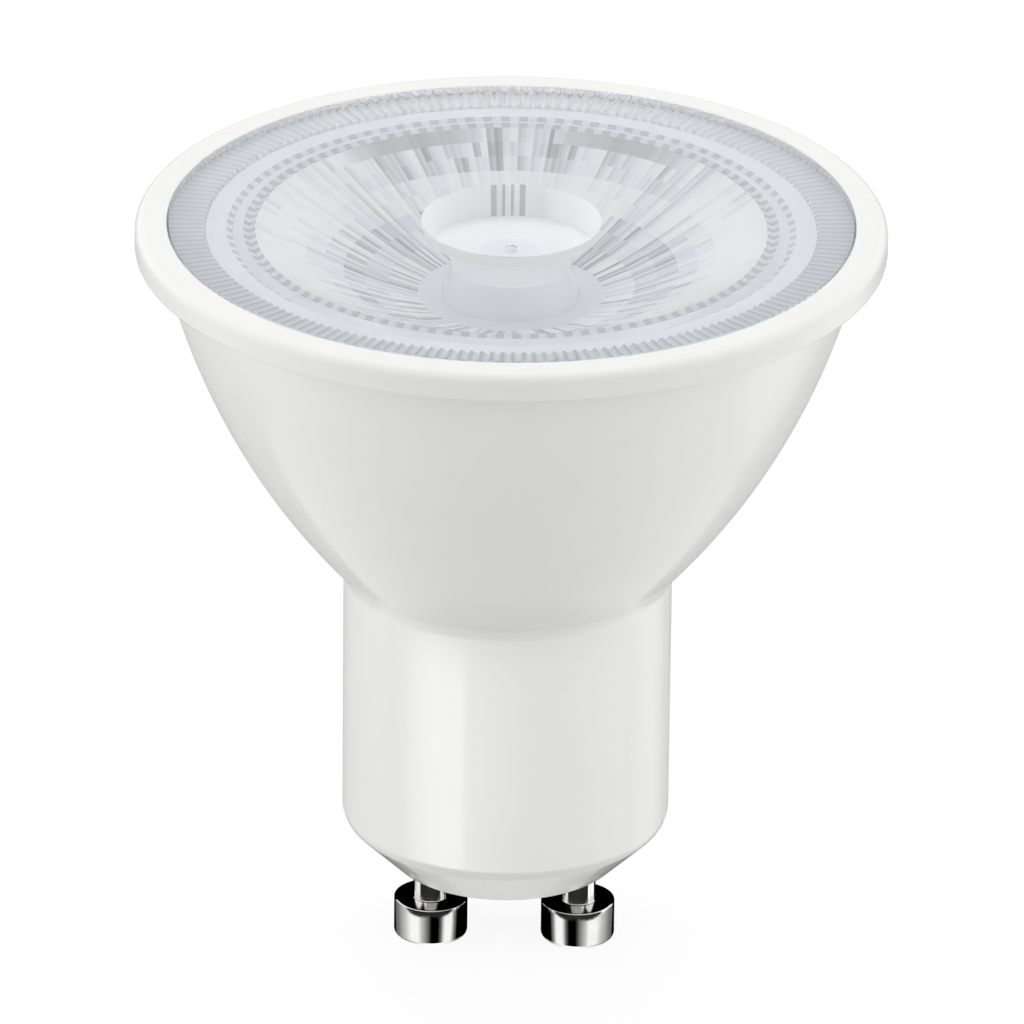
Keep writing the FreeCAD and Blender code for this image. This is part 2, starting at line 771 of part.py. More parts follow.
def make_filter_capacitor(doc):
    body = add_body(doc, "filter_capacitor")
    sketch = add_sketch(body, "film_sketch", "XY_Plane")
    draw_rectangle(sketch, "0", "0", "dims.film_width", "dims.film_height")
    block = add_pad(body, "film_block", sketch, "dims.film_depth")
    doc.recompute()
    edges = body.newObject("PartDesign::Chamfer", "film_edges")
    edges.Base = (block, ["Edge1"])
    edges.UseAllEdges = True
    bind(edges, Size="dims.film_edge")
    place(body, y="places.board_front", z="places.film_z", turn=FACE_FRONT)


def make_fuse_resistor(doc):
    """A barrel on one bent wire, whose ends stand on the board."""
    body = add_body(doc, "fuse_resistor")
    half = "dims.fuse_lead_span / 2"
    axis_height = "(dims.fuse_dia / 2)"
    path = add_sketch(body, "fuse_path", "XZ_Plane")
    draw(path, [
        (f"-{half}", "0"),
        (f"-{half}", f"{axis_height} - dims.fuse_bend"),
        (f"dims.fuse_bend - {half}", axis_height),
        (f"{half} - dims.fuse_bend", axis_height),
        (half, f"{axis_height} - dims.fuse_bend"),
        (half, "0"),
    ], {1: "dims.fuse_bend", 3: "dims.fuse_bend"}, closed=False)
    section = add_sketch(body, "fuse_section", "XY_Plane")
    draw_circle(section, f"-{half}", "0", "dims.fuse_lead_dia")
    doc.recompute()
    lead = body.newObject("PartDesign::AdditivePipe", "fuse_lead")
    lead.Profile = section
    lead.Spine = (path, [f"Edge{number + 1}" for number in range(5)])
    barrel = add_sketch(body, "fuse_barrel_sketch", "YZ_Plane", "-dims.fuse_length / 2")
    draw_circle(barrel, "0", axis_height, "dims.fuse_dia")
    add_pad(body, "fuse_barrel", barrel, "dims.fuse_length")
    place(body, y="places.board_front", z="places.fuse_z", turn=FACE_FRONT)


def make_leaded_chip(doc, name, size, side, legs):
    """A flat black package with a row of bent legs along two sides."""
    body = add_body(doc, name)
    sketch = add_sketch(body, f"{name}_block_sketch", "XY_Plane", "dims.leg_thickness")
    draw_rectangle(sketch, "0", "0", f"dims.{size}_width", f"dims.{size}_length")
    add_pad(body, f"{name}_block", sketch, f"dims.{size}_height - dims.leg_thickness")
    edge = f"dims.{size}_length / 2"
    lift = f"dims.{size}_height / 2"
    first = f"(dims.leg_width / 2 - dims.{size}_pitch * {(legs - 1) / 2})"
    leg_sketch = add_sketch(body, f"{name}_leg_sketch", "YZ_Plane", f"{first} - dims.leg_width")
    for sign in ("-", ""):
        tip = f"{sign}({edge} + dims.leg_reach)"
        bend = f"{sign}({edge} + dims.leg_thickness)"
        knee = f"{sign}({edge} + 2 * dims.leg_thickness)"
        root = f"{sign}({edge} - dims.leg_thickness)"
        draw(leg_sketch, [
            (tip, "0"),
            (bend, "0"),
            (bend, lift),
            (root, lift),
            (root, f"{lift} + dims.leg_thickness"),
            (knee, f"{lift} + dims.leg_thickness"),
            (knee, "dims.leg_thickness"),
            (tip, "dims.leg_thickness"),
        ])
    leg = add_pad(body, f"{name}_leg", leg_sketch, "dims.leg_width")
    row = body.newObject("PartDesign::LinearPattern", f"{name}_legs")
    row.Originals = [leg]
    row.Direction = (origin_plane(body, "X_Axis"), [""])
    row.Occurrences = legs
    bind(row, Length=f"dims.{size}_pitch * {legs - 1}")
    body.Tip = row
    place(
        body,
        x=f"{side}dims.{size}_aside",
        y="places.board_back",
        z=f"dims.board_foot + dims.{size}_rise",
        turn=FACE_BACK,
    )


def make_back_block(doc, name, size, side, step=0):
    """A plain surface-mounted block on the back of the board, some steps up its row."""
    block = doc.addObject("Part::Box", name)
    block.Label = name
    bind(
        block,
        Length=f"dims.{size}_width",
        Width=f"dims.{size}_height",
        Height=f"dims.{size}_length",
    )
    rise = f"dims.{size}_rise" + (f" + {step} * dims.{size}_pitch" if step else "")
    place(
        block,
        x=f"{side}dims.{size}_aside - dims.{size}_width / 2",
        y=f"places.board_back - dims.{size}_height",
        z=f"dims.board_foot + {rise} - dims.{size}_length / 2",
    )
    return block


def make_sense_resistors(doc):
    """Two small resistors, one group of separate solids."""
    group = doc.addObject("Part::Compound", "sense_resistors")
    group.Label = "sense_resistors"
    group.Links = [make_back_block(doc, f"sense_resistor_{step}", "resistor", "", step) for step in range(2)]


# Wires

def make_mains_wires(doc):
    """From the hollow tail of each pin to the front of the driver board."""
    bend = "dims.mains_wire_bend"
    for name, side in (("mains_wire_left", "-"), ("mains_wire_right", "")):
        add_wire(doc, name, f"{side}places.pin_x", [
            ("0", "places.pin_collar_top"),
            ("0", f"places.mains_wire_z - {bend}"),
            (f"-{bend}", "places.mains_wire_z"),
            ("places.board_front", "places.mains_wire_z"),
        ], {1: f"-{bend}"}, "dims.mains_wire_dia")


def make_led_wires(doc):
    """From the back of the driver board, up through the heat sink and onto the LED board."""
    bend = "places.led_wire_bend"
    start = "(places.seat_height - dims.led_wire_drop)"
    for name, side in (("led_wire_red", "-"), ("led_wire_black", "")):
        add_wire(doc, name, f"{side}dims.led_wire_spacing / 2", [
            ("places.board_back", start),
            (f"{bend} - {LED_WIRE_OFFSET}", start),
            (f"-{LED_WIRE_OFFSET}", f"{start} + {bend}"),
            (f"-{LED_WIRE_OFFSET}", f"places.led_wire_top - {bend}"),
            (f"{bend} - {LED_WIRE_OFFSET}", "places.led_wire_top"),
            (f"{bend} - {LED_WIRE_OFFSET} + dims.led_wire_tail", "places.led_wire_top"),
        ], {1: bend, 3: bend}, "dims.led_wire_dia")


# Assembly

NODES = [
    "housing",
    "lens",
    "heat_sink",
    "thermal_pad",
    "led_board",
    "led_package",
    "led_phosphor",
    "board_screws",
    "contact_pin_left",
    "contact_pin_right",
    "driver_board",
    "bulk_capacitor",
    "filter_capacitor",
    "inductor_core",
    "inductor_winding",
    "fuse_resistor",
    "bridge_rectifier",
    "driver_chip",
    "output_diode",
    "sense_resistors",
    "mains_wire_left",
    "mains_wire_right",
    "led_wire_red",
    "led_wire_black",
]


def build():
    doc = FreeCAD.newDocument("spotlight_bulb")
    add_sheet(doc, "dims", {alias: str(size) for alias, size in SIZES.items()})
    add_sheet(doc, "places", {alias: f"={formula}" for alias, formula in PLACES.items()})
    doc.recompute()
    make_housing(doc)
    make_contact_pin(doc, "contact_pin_left", "-")
    make_contact_pin(doc, "contact_pin_right", "")
    make_heat_sink(doc)
    make_drilled_disc(doc, "thermal_pad", "dims.thermal_pad_thickness", "places.sink_floor_top")
    make_drilled_disc(doc, "led_board", "dims.led_board_thickness", "places.pad_top")
    make_led(doc)
    make_board_screws(doc)
    make_lens(doc)
    make_driver_board(doc)
    make_bulk_capacitor(doc)
    make_inductor(doc)
    make_filter_capacitor(doc)
    make_fuse_resistor(doc)
    make_leaded_chip(doc, "bridge_rectifier", "bridge", "-", 2)
    make_leaded_chip(doc, "driver_chip", "chip", "", 4)
    make_back_block(doc, "output_diode", "diode", "-")
    make_sense_resistors(doc)
    make_mains_wires(doc)
    make_led_wires(doc)
    doc.recompute()
    return doc


def check(doc):
    """Stop if any object failed or any sub-part has no valid solid."""
    for item in doc.Objects:
        if "Invalid" in item.State or "Error" in item.State:
            raise RuntimeError(f"{item.Name} failed: {item.State}")
    for name in NODES:
        shape = doc.getObject(name).Shape
        if shape.isNull() or not shape.isValid() or not shape.Solids:
            raise RuntimeError(f"{name} has no valid solid")


def export(doc):
    os.makedirs("parts", exist_ok=True)
    for name in NODES:
        item = doc.getObject(name)
        item.Shape.exportStep(f"parts/{item.Label}.step")


document = build()
check(document)
export(document)
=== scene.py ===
import math
import random

import bmesh
import bpy
from bpy.props import FloatProperty, FloatVectorProperty, IntProperty, PointerProperty
from mathutils import Matrix, Vector


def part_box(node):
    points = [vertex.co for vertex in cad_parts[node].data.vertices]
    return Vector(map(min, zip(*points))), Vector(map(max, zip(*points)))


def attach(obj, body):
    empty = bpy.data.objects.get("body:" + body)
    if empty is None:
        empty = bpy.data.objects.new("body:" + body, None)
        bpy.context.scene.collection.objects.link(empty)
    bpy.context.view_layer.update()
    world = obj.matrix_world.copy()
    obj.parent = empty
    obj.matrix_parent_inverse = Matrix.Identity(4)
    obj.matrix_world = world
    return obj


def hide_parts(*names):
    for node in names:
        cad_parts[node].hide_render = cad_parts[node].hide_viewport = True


bl_info = {
    "name": "Spotlight Lamp Looks",
    "version": (1, 0, 0),
    "blender": (4, 5, 0),
    "location": "3D View > Sidebar > Lamp",
    "description": "Smooth housing, cut lens, plated pins, finishes and studio for the packed spotlight lamp",
    "category": "Object",
}

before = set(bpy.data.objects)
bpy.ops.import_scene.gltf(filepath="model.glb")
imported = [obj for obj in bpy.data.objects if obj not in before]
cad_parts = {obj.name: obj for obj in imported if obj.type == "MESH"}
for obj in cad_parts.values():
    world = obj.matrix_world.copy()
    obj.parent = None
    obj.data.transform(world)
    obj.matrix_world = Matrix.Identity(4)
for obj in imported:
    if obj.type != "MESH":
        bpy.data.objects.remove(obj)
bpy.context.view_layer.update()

BODY = "root"
AXIS = (0.0, 0.0, 1.0)
CENTRE = (0.0, 0.0, 0.0)

# Distances under which two places count as one, in metres
TINY = 1e-6
NEAR = 1e-5

# Edges that turn by more than this many degrees stay sharp
TURNED_SHARP = 35
LENS_SHARP = 30

HOUSING_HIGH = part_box("housing")[1]
LENS_LOW, LENS_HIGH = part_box("lens")
SINK_LOW, SINK_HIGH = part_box("heat_sink")
PIN_LOW, PIN_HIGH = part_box("contact_pin_right")


# Settings

def length(name, description, default, low=0.0):
    return FloatProperty(
        name=name, description=description, default=default, min=low, precision=5, unit="LENGTH"
    )


def colour(name, description, default):
    return FloatVectorProperty(
        name=name, description=description, default=default, min=0.0, max=1.0, size=3, subtype="COLOR"
    )


def share(name, description, default, high=1.0):
    return FloatProperty(name=name, description=description, default=default, min=0.0, max=high)


class HousingSettings(bpy.types.PropertyGroup):
    rim_height: length("Rim height", "Height of the rim's cylindrical side", 0.00195)
    rim_overhang: length("Rim overhang", "How far the rim stands out beyond the cup", 0.00173)
    rim_land: length("Rim land", "Width of the white ring around the lens", 0.00213)
    rim_round: length("Rim rounding", "Radius of the rim's outer upper edge", 0.0007)
    small_round: length("Small rounding", "Radius of the moulding's small edges", 0.00025)
    cup_bulge: length("Cup bulge", "How far the cup's side bows out from a straight cone", 0.00176)
    neck_radius: length("Neck radius", "Outer radius of the straight neck", 0.01105)
    neck_height: length("Neck height", "Height where the neck meets the cup", 0.0214)
    crease_round: length("Crease rounding", "Radius of the soft crease between neck and cup", 0.0015)
    base_radius: length("Base radius", "Radius of the base's end face", 0.0078)
    base_round: length("Base rounding", "Radius between the neck and the slanting edge of the base", 0.0012)
    bevel_height: length("Bevel height", "Height of the slanting edge of the base", 0.00325)
    wall: length("Wall", "Thickness of the moulded wall", 0.0014)
    base_floor: length("Base floor", "Thickness of the base's end", 0.002)
    seat_step: length("Seat step", "Width of the step that the heat sink stands on", 0.0008)
    fit: length("Fit", "Clearance between the moulding and what it holds", 0.00005)
    steps: IntProperty(name="Steps", description="Steps around the axis", default=256, min=24)
    plastic: colour("Plastic", "Colour of the white moulding", (0.86, 0.86, 0.852))


class LensSettings(bpy.types.PropertyGroup):
    edge: length("Edge", "Thickness of the lens plate", 0.0016)
    facets: IntProperty(name="Facets", description="Facets around the funnel and edge", default=192, min=12)
    rows: IntProperty(name="Rows", description="Rows of facets up the funnel", default=8, min=2)
    cone_top: length("Funnel top", "Radius where the funnel meets the plate", 0.017)
    cone_foot: length("Funnel foot", "Radius of the funnel's foot", 0.0062)
    cone_flare: share("Funnel flare", "Exponent of the funnel's curve", 0.8)
    rib_length: length("Rib length", "Radial length of the fine ribs at the edge", 0.00247)
    rib_depth: length("Rib depth", "Depth of the grooves between the ribs", 0.0007)
    rib_run: length("Rib run-out", "Length of the slope at a groove's inner end", 0.00015)
    ridge_outer: length("Outer ring", "Radius of the outer fine ring", 0.0185)
    ridge_inner: length("Inner ring", "Radius of the inner fine ring", 0.0174)
    ridge_width: length("Ring width", "Width of each fine ring", 0.0008)
    ridge_depth: length("Ring depth", "Depth of each fine ring", 0.0005)
    recess: length("Recess", "Radius of the dished centre", 0.006)
    recess_depth: length("Recess depth", "Depth of the dished centre", 0.0022)
    recess_draft: length("Recess draft", "Slope of the recess's side", 0.0002)
    spot: length("Centre spot", "Radius of the bluish spot in the frosted centre", 0.002)
    gate: length("Gate", "Radius of the moulding gate's stub", 0.0004)
    gate_height: length("Gate height", "Height of the gate's stub", 0.00025)
    hollow: length("Hollow", "Radius of the hollow over the light source", 0.0046)
    hollow_top: length("Hollow top", "Radius of the hollow at its roof", 0.004)
    hollow_depth: length("Hollow depth", "Depth of the hollow", 0.0055)
    dome: length("Dome", "How far the hollow's domed roof hangs down", 0.001)
    clear: colour("Clear", "Tint of the clear moulding", (0.985, 0.992, 1.0))
    ior: share("Index", "Refractive index of the clear moulding", 1.4, high=3.0)
    facet_clearness: share("Facet clearness", "How much the cut faces let through", 0.05)
    centre_clearness: share("Centre clearness", "How much the frosted centre lets through", 0.3)


class PinSettings(bpy.types.PropertyGroup):
    head_height: length("Head height", "Height of the thick head", 0.0027)
    head_round: length("Head rounding", "Radius of the head's lower edge", 0.00028)
    head_edge: length("Head edge", "Radius of the head's upper edge", 0.0001)
    neck_radius: length("Neck radius", "Radius of the slim neck", 0.0012)
    collar_radius: length("Collar radius", "Radius of the riveted collar", 0.0019)
    collar_height: length("Collar height", "Height of the riveted collar", 0.0006)
    wire_hole: length("Wire hole", "Radius of the hole for the wire", 0.00055)
    plating: colour("Plating", "Colour of the bright plating", (0.86, 0.855, 0.84))


class StageSettings(bpy.types.PropertyGroup):
    lens: FloatProperty(name="Lens", description="Focal length", default=434.2, unit="CAMERA")
    distance: length("Distance", "From the camera to the aim point", 0.8284)
    azimuth: FloatProperty(
        name="Azimuth", description="Angle around the lamp", default=math.radians(1.35), subtype="ANGLE"
    )
    elevation: FloatProperty(
        name="Elevation", description="Angle above the floor", default=math.radians(25.0), subtype="ANGLE"
    )
    roll: FloatProperty(
        name="Roll", description="Turn about the line of sight", default=math.radians(0.62), subtype="ANGLE"
    )
    aim_height: length("Aim height", "Height of the aim point on the axis", 0.02525)
    aim_side: length("Aim side", "Aim point's distance to the right of the axis", 0.00024)
    room_light: share("Room light", "Strength of the even light on dull surfaces", 0.5, high=4.0)
    key_power: FloatProperty(
        name="Key power", description="Power that each lamp takes a share of", default=2.2, min=0.0
    )
    floor: colour("Floor", "Colour of the floor", (0.7, 0.7, 0.7))


GROUPS = {
    "lamp_housing": HousingSettings,
    "lamp_lens": LensSettings,
    "lamp_pins": PinSettings,
    "lamp_stage": StageSettings,
}


# Mesh helpers

def chain(bm, corners):
    """Joins corners, given as (radius, height) pairs, into one line in the XZ plane."""
    verts = [bm.verts.new((radius, 0.0, height)) for radius, height in corners]
    for pair in zip(verts, verts[1:]):
        bm.edges.new(pair)
    return verts


def round_corner(bm, corner, radius, segments=4):
    """Rounds the corner of an outline that lies at a (radius, height) pair."""
    spot = Vector((corner[0], 0.0, corner[1]))
    vert = min(bm.verts, key=lambda candidate: (candidate.co - spot).length)
    before, after = (edge.other_vert(vert).co - vert.co for edge in vert.link_edges)
    setback = radius / math.tan(before.angle(after) / 2)
    bmesh.ops.bevel(
        bm, geom=[vert], offset=setback, offset_type="OFFSET", segments=segments, profile=0.5,
        affect="VERTICES", material=-1,
    )


def bow(bm, start, end, bulge, cuts):
    """Turns the straight edge between two corners into an arc that bows out by bulge, to its right."""
    edge = bm.edges.get((start, end))
    first, last = start.co.copy(), end.co.copy()
    half = (last - first).length / 2
    radius = (half ** 2 + bulge ** 2) / (2 * abs(bulge))
    along = (last - first).normalized()
    side = Vector((along.z, 0.0, -along.x)) * math.copysign(1.0, bulge)
    centre = (first + last) / 2 - side * (radius - abs(bulge))
    made = bmesh.ops.subdivide_edges(bm, edges=[edge], cuts=cuts)
    for vert in made["geom_inner"]:
        if isinstance(vert, bmesh.types.BMVert):
            vert.co = centre + (vert.co - centre).normalized() * radius


def turn(bm, steps):
    """Spins the outline about the axis, closes the poles and points the faces outwards."""
    bmesh.ops.spin(
        bm, geom=bm.verts[:] + bm.edges[:], cent=CENTRE, axis=AXIS, angle=math.tau, steps=steps,
        use_merge=True,
    )
    bmesh.ops.remove_doubles(bm, verts=bm.verts[:], dist=TINY)
    bmesh.ops.recalc_face_normals(bm, faces=bm.faces[:])


def radius_of(vert):
    return math.hypot(vert.co.x, vert.co.y)


def column_of(vert, steps):
    return round(math.atan2(vert.co.y, vert.co.x) * steps / math.tau) % steps


def finish_piece(bm, name, material, sharp=None):
    """Makes the object, gives it its material and rides it on the body."""
    mesh = bpy.data.meshes.new(name)
    bm.to_mesh(mesh)
    bm.free()
    if sharp is not None:
        mesh.shade_smooth()
        mesh.set_sharp_from_angle(angle=math.radians(sharp))
    mesh.materials.append(material)
    piece = bpy.data.objects.new(name, mesh)
    bpy.context.scene.collection.objects.link(piece)
    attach(piece, BODY)
    return piece


def even_shading(piece):
    """Lets the large faces lead the shading at rounded edges."""
    weighted = piece.modifiers.new("even shading", "WEIGHTED_NORMAL")
    weighted.mode = "FACE_AREA"
    weighted.keep_sharp = True


# Material helpers

# Where the middle values of a noise texture start and end
MIDDLE_LOW, MIDDLE_HIGH = 0.3, 0.7

# Stretch of a texture: the same all ways, or drawn out along the axis
EVEN, BRUSHED = (1.0, 1.0, 1.0), (1.0, 1.0, 0.1)

GRAIN_DEPTH = 0.00001
GLOSS_SPREAD = 0.15

# Painted reflection colours of the lens's cut and frosted faces, from dark through bluish grey to white, for
# tones from 0 to 1
REFLECTION_COLOURS = (
    (0.0, (0.15, 0.15, 0.16)),
    (0.5, (0.72, 0.74, 0.77)),
    (0.65, (0.86, 0.88, 0.93)),
    (0.8, (0.92, 0.96, 0.99)),
    (1.0, (1.0, 1.0, 1.0)),
)


class Finish:
    """A node material that is built up step by step around one Principled shader."""

    def __init__(self, name, **values):
        self.material = bpy.data.materials.new(name)
        self.material.use_nodes = True
        self.nodes = self.material.node_tree.nodes
        self.links = self.material.node_tree.links
        self.shader = self.nodes["Principled BSDF"]
        for socket, value in values.items():
            self.shader.inputs[socket.replace("_", " ")].default_value = value
        self.place = self.nodes.new("ShaderNodeTexCoord").outputs["Object"]

    def link(self, output, node, socket):
        self.links.new(output, node.inputs[socket])

    def noise(self, size, detail=2.0, stretch=EVEN):
        """Noise whose blotches are about size metres across."""
        mapping = self.nodes.new("ShaderNodeMapping")
        mapping.inputs["Scale"].default_value = stretch
        self.link(self.place, mapping, "Vector")
        node = self.nodes.new("ShaderNodeTexNoise")
        node.inputs["Scale"].default_value = 1.0 / size
        node.inputs["Detail"].default_value = detail
        self.link(mapping.outputs["Vector"], node, "Vector")
        return node.outputs["Fac"]

    def grooves(self, size):
        """Even grooves around the axis, size metres from one to the next."""
        node = self.nodes.new("ShaderNodeTexWave")
        node.bands_direction = "Z"
        node.inputs["Scale"].default_value = math.pi / (10 * size)
        self.link(self.place, node, "Vector")
        return node.outputs["Fac"]

    def tint(self, shade, darkest, size):
        """A colour with blotches of size metres, the darkest of them down to a share of it."""
        ramp = self.nodes.new("ShaderNodeValToRGB")
        first, last = ramp.color_ramp.elements
        first.position, last.position = MIDDLE_LOW, MIDDLE_HIGH
        first.color = (*(channel * darkest for channel in shade), 1.0)
        last.color = (*shade, 1.0)
        self.link(self.noise(size), ramp, "Fac")
        self.link(ramp.outputs["Color"], self.shader, "Base Color")

    def gloss(self, low, high, size, stretch=EVEN):
        """Roughness from low to high, in blotches of size metres."""
        node = self.nodes.new("ShaderNodeMapRange")
        node.inputs["From Min"].default_value = MIDDLE_LOW
        node.inputs["From Max"].default_value = MIDDLE_HIGH
        node.inputs["To Min"].default_value = low
        node.inputs["To Max"].default_value = high
        self.link(self.noise(size, stretch=stretch), node, "Value")
        self.link(node.outputs["Result"], self.shader, "Roughness")

    def bump(self, height, depth):
        """Bump of the given depth in metres."""
        node = self.nodes.new("ShaderNodeBump")
        node.inputs["Distance"].default_value = depth
        self.link(height, node, "Height")
        self.link(node.outputs["Normal"], self.shader, "Normal")


def mottled(name, shade, roughness, size=0.0008, contrast=0.08, **values):
    """A dull or glossy solid colour with fine mottling, uneven gloss and a slight grain."""
    finish = Finish(name, **values)
    finish.tint(shade, 1 - contrast, size)
    finish.gloss((1 - GLOSS_SPREAD) * roughness, (1 + GLOSS_SPREAD) * roughness, 3 * size)
    finish.bump(finish.noise(size / 4), GRAIN_DEPTH)
    return finish.material


# Finishes

def white_plastic(shade):
    finish = Finish("white plastic", IOR=1.5)
    finish.tint(shade, darkest=0.985, size=0.006)
    finish.gloss(low=0.12, high=0.17, size=0.003)
    finish.bump(finish.noise(size=0.0005), depth=0.000001)
    return finish.material


def clear_moulding(settings):
    finish = Finish(
        "clear moulding", IOR=settings.ior, Transmission_Weight=1.0, Coat_Weight=0.6, Coat_Roughness=0.02
    )
    finish.tint(settings.clear, darkest=0.98, size=0.004)
    finish.gloss(low=0.0, high=0.03, size=0.002)
    finish.bump(finish.noise(size=0.0015, detail=0.0), depth=0.000004)
    return finish.material


def reflection_painted_moulding(name, ior, clearness, roughness):
    """The cut or frosted faces of the lens: pearly, coloured by the painted reflections and shade that the
    piece carries as tones.
    """
    finish = Finish(name, IOR=ior, Transmission_Weight=clearness, Roughness=roughness)
    tones = finish.nodes.new("ShaderNodeAttribute")
    tones.attribute_name = "tone"
    ramp = finish.nodes.new("ShaderNodeValToRGB")
    elements = ramp.color_ramp.elements
    for position, _ in REFLECTION_COLOURS[1:-1]:
        elements.new(position)
    for element, (_, shade) in zip(elements, REFLECTION_COLOURS):
        element.color = (*shade, 1.0)
    finish.link(tones.outputs["Fac"], ramp, "Fac")
    finish.link(ramp.outputs["Color"], finish.shader, "Base Color")
    finish.bump(finish.noise(size=0.0006), depth=0.000004)
    return finish.material


def bright_plating(shade):
    finish = Finish("bright plating", Metallic=1.0)
    finish.tint(shade, darkest=0.94, size=0.001)
    finish.gloss(low=0.07, high=0.11, size=0.0006)
    finish.bump(finish.grooves(size=0.00008), depth=0.0000004)
    return finish.material


def pressed_aluminium():
    finish = Finish("pressed aluminium", Metallic=0.4)
    finish.tint((0.84, 0.88, 0.93), darkest=0.93, size=0.003)
    finish.gloss(low=0.32, high=0.46, size=0.002, stretch=BRUSHED)
    finish.bump(finish.noise(size=0.0004, stretch=BRUSHED), GRAIN_DEPTH)
    return finish.material


# Housing

def widest_at(node, height):
    """Largest radius among a node's corners at a height."""
    corners = (vert.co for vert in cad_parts[node].data.vertices)
    return max(math.hypot(spot.x, spot.y) for spot in corners if abs(spot.z - height) < NEAR)


def sink_outside():
    """The straight outside of the heat sink, as its lower and upper (radius, height) pairs."""
    return [(widest_at("heat_sink", height), height) for height in (SINK_LOW.z, SINK_HIGH.z)]


def radius_on_line(low, high, height):
    """Radius at a height on the straight line through two (radius, height) pairs."""
    part = (height - low[1]) / (high[1] - low[1])
    return low[0] + (high[0] - low[0]) * part


class LAMP_OT_build_housing(bpy.types.Operator):
    """Turn the white housing: rim, cup, neck and bevelled base, with the hollow inside"""
    bl_idname = "lamp.build_housing"
    bl_label = "Build Housing"

    def execute(self, context):
        s = context.scene.lamp_housing
        top, rim = HOUSING_HIGH.z, HOUSING_HIGH.x
        rim_under = top - s.rim_height
        ledge = top - context.scene.lamp_lens.edge
        sink_foot, sink_top = sink_outside()
        lining_foot = sink_foot[0] + s.fit
        lining_top = radius_on_line(sink_foot, sink_top, ledge) + s.fit
        bore = s.neck_radius - s.wall
        seat = rim - s.rim_land
        slope = s.bevel_height / (s.neck_radius - s.base_radius)
        lift = s.wall * math.hypot(1.0, slope)
        bm = bmesh.new()
        outline = [
            (0.0, 0.0),
            (s.base_radius, 0.0),
            (s.neck_radius, s.bevel_height),
            (s.neck_radius, s.neck_height),
            (rim - s.rim_overhang, rim_under),
            (rim, rim_under),
            (rim, top),
            (seat, top),
            (seat, ledge),
            (lining_top, ledge),
            (lining_foot, SINK_LOW.z),
            (lining_foot - s.seat_step, SINK_LOW.z),
            (bore, s.neck_height + s.wall),
            (bore, slope * (bore - s.base_radius) + lift),
            (s.base_radius + (s.base_floor - lift) / slope, s.base_floor),
            (0.0, s.base_floor),
        ]
        corners = chain(bm, outline)
        cup_foot, cup_end = corners[3:5]
        bow(bm, cup_foot, cup_end, s.cup_bulge, cuts=40)
        base_end, base_top, crease, cup_top, rim_low, rim_high, rim_inner = outline[1:8]
        for corner in (base_end, cup_top, rim_low):
            round_corner(bm, corner, s.small_round)
        round_corner(bm, base_top, s.base_round, segments=6)
        round_corner(bm, crease, s.crease_round, segments=6)
        round_corner(bm, rim_high, s.rim_round, segments=8)
        round_corner(bm, rim_inner, s.small_round / 2)
        turn(bm, s.steps)
        piece = finish_piece(bm, "housing_moulding", white_plastic(s.plastic), TURNED_SHARP)
        even_shading(piece)
        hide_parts("housing")
        return {"FINISHED"}


# Lens

# Tones are painted reflections and painted shade on the cut and frosted faces, from 0 for dark to 1 for white
RIB_ROOT_SHADE, RIB_EDGE_LIGHT, RIB_BACK_LIGHT = 0.45, 0.9, 0.12
FLAT_TONE = 0.61
DOT_SHADE = 0.4
CENTRE_TONE = 0.87
SPOT_TONE = 0.7
WALL_TONE = 0.97
BAR_SHADE = 0.42
HOLLOW_TONE = 0.85
FOOT_SHADE = 0.62

# Columns of facets, counted from the back towards the left, where the recess's wall gets a painted dark
# reflection as a small bar
BAR_SHADE_COLUMNS = (-4, -3, 0, 3, 6, 7)

# Painted reflections on the rows of the funnel from its foot up, at the front and sides and at the back
SIDE_REFLECTIONS = (0.3, 0.17, 0.12, 0.35, 0.5, 0.72, 0.75, 0.68)
BACK_REFLECTIONS = (0.3, 0.3, 0.4, 0.58, 0.5, 0.12, 0.15, 0.25)

# Painted glints that the draw adds for a whole column and for one facet, and the painted shade that a facet's
# second half loses
COLUMN_GLINT, FACET_GLINT, SECOND_HALF_SHADE = 0.5, 0.35, 0.1
GLINT_DRAW = 11

# A painted dark reflection: an arc in the top row at each side of the back, between two angles from the back
ARC_START, ARC_END = math.radians(8), math.radians(44)
ARC_TOP, ARC_DARKENING, ARC_GLINT = 0.72, 0.38, 0.15

# Material slots of the lens
CLEAR, CUT, FROSTED = 0, 1, 2

STEEPEST_NORMAL = 0.3


def upright(face):
    return abs(face.normal.z) < STEEPEST_NORMAL


def funnel_reflection(s, row, facet, second, azimuth, glints):
    """Painted reflection tone of one half of a facet, by its row, its place around the axis and the draw,
    with painted glints and a painted dark arc at the back.
    """
    at_back = max(0.0, math.sin(azimuth)) ** 2
    value = SIDE_REFLECTIONS[row] + (BACK_REFLECTIONS[row] - SIDE_REFLECTIONS[row]) * at_back
    value += COLUMN_GLINT * glints[0][facet] + FACET_GLINT * glints[row][facet] - SECOND_HALF_SHADE * second
    from_back = abs(azimuth - math.pi / 2)
    if row == s.rows - 1 and ARC_START < from_back < ARC_END:
        part = (from_back - ARC_START) / (ARC_END - ARC_START)
        arc = ARC_TOP - ARC_DARKENING * math.sqrt(math.sin(math.pi * part))
        value = arc + ARC_GLINT * (value - ARC_TOP)
    return value


